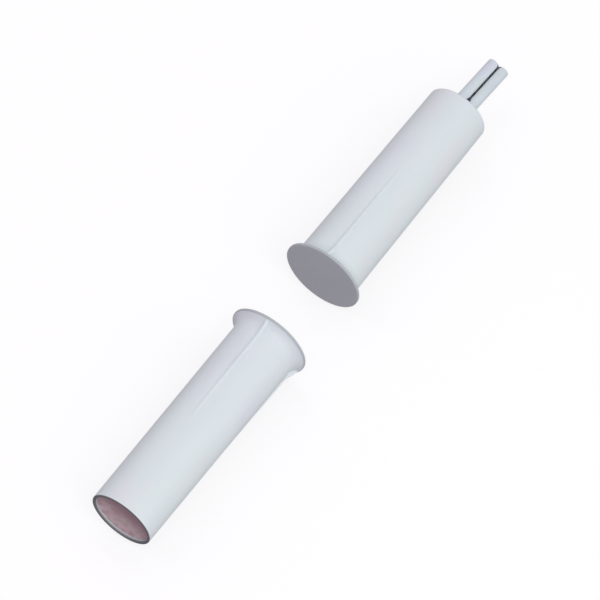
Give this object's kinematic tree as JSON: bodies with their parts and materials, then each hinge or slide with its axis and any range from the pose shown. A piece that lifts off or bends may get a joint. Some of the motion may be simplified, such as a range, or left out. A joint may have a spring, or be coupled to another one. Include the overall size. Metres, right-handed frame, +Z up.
{
  "type": "recessed magnetic contact",
  "caption": "Recessed magnetic door contact: a flanged barrel with a potted reed switch and wire leads, facing a matching flanged barrel that holds a bar magnet.",
  "frame": {"origin": "centre of the switch half's flange face", "axes": "X is the common axis of both halves, +X from the flange face along the switch half to its leads, the magnet half facing it from -X, +Z up"},
  "size_m": [0.0883, 0.0116, 0.0116],
  "materials": {
    "moulded_shell": "cool white injection-moulded plastic, softly glossy",
    "capsule_glass": "clear glass with a faint green tint",
    "reed_alloy": "drawn nickel-iron wire",
    "cushion_rubber": "soft translucent sleeve",
    "sleeve_plastic": "thin-walled insulating tube",
    "solder": "bright solder",
    "lead_plastic": "white lead insulation",
    "strand_copper": "tinned copper strands",
    "potting_resin": "white cast resin",
    "magnet_metal": "cast magnet alloy",
    "adhesive_resin": "pinkish brown resin"
  },
  "bodies": {
    "root": {"switch_housing": "moulded_shell", "reed_capsule": "capsule_glass", "front_reed": "reed_alloy", "rear_reed": "reed_alloy", "capsule_cushion": "cushion_rubber", "reed_wire_sleeve": "sleeve_plastic", "solder_joint_a": "solder", "solder_joint_b": "solder", "lead_insulation_a": "lead_plastic", "lead_insulation_b": "lead_plastic", "lead_conductor_a": "strand_copper", "lead_conductor_b": "strand_copper", "potting_compound": "potting_resin", "magnet_housing": "moulded_shell", "bar_magnet": "magnet_metal", "magnet_adhesive": "adhesive_resin"}
  },
  "joints": []
}
